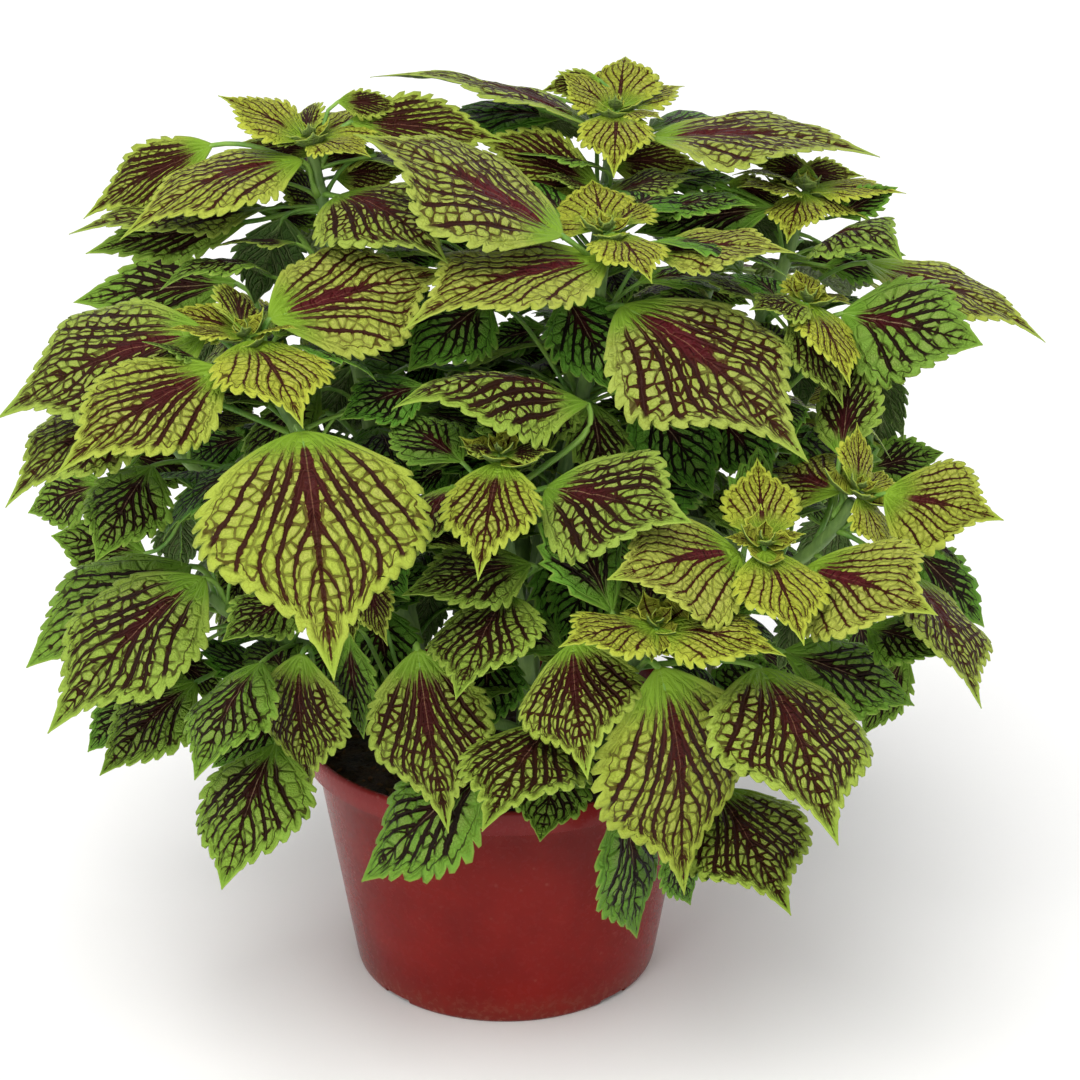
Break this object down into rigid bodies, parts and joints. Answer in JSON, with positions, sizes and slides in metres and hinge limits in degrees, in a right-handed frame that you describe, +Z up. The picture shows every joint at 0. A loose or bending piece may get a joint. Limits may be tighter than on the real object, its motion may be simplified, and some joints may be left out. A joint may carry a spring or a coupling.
{
  "type": "coleus in a pot",
  "caption": "Bushy coleus with broad toothed leaves in opposite pairs on branching stems, rooted in a round plastic nursery pot of soil.",
  "frame": {"origin": "centre of the underside of the pot's base, on the surface it stands on", "axes": "+Z up along the pot's axis, -Y towards the side seen in the picture, +X to the right of that view"},
  "size_m": [0.363, 0.3546, 0.3253],
  "materials": {
    "pot_plastic": "satin moulded plastic, brick red",
    "potting_mix": "crumbly dark potting soil",
    "stem": "fleshy light green stem",
    "leaf": "quilted lime leaf with dark burgundy veins",
    "young_leaf": "soft yellow-lime young leaf with red veins"
  },
  "bodies": {
    "root": {"pot": "pot_plastic", "soil": "potting_mix", "stem_left": "stem", "stem_back": "stem", "stem_right": "stem", "stem_front": "stem", "leaves_a1": "leaf", "leaves_a2": "leaf", "leaves_b1": "leaf", "leaves_b2": "leaf", "leaves_b3": "leaf", "leaves_c1": "leaf", "leaves_c2": "leaf", "leaves_c3": "leaf", "leaves_d1": "leaf", "leaves_d2": "leaf", "leaves_d3": "leaf", "leaves_c4": "leaf", "leaves_a3": "leaf", "leaves_f3": "leaf", "leaves_f1": "leaf", "leaves_f2": "leaf", "leaves_g1": "leaf", "leaves_g2": "leaf", "leaves_i1": "leaf", "leaves_j1": "leaf", "leaves_j2": "leaf", "leaves_l1": "leaf", "leaves_l2": "leaf", "leaves_p1": "leaf", "leaves_q1": "leaf", "leaves_q2": "leaf", "leaves_v1": "leaf", "leaves_v2": "leaf", "leaves_u1": "leaf", "leaves_o1": "leaf", "leaves_r1": "leaf", "leaves_s1": "leaf", "leaves_t1": "leaf", "leaves_w1": "leaf", "leaves_x1": "leaf", "leaves_y1": "leaf", "leaves_z1": "leaf", "tip_a": "young_leaf", "tip_b": "young_leaf", "tip_c": "young_leaf", "tip_d": "young_leaf", "tip_f": "young_leaf", "tip_g": "young_leaf", "tip_i": "young_leaf", "tip_j": "young_leaf", "tip_l": "young_leaf", "tip_q": "young_leaf", "tip_r": "young_leaf", "tip_s": "young_leaf", "tip_t": "young_leaf", "tip_w": "young_leaf", "tip_x": "young_leaf", "tip_y": "young_leaf", "tip_z": "young_leaf"}
  },
  "joints": []
}
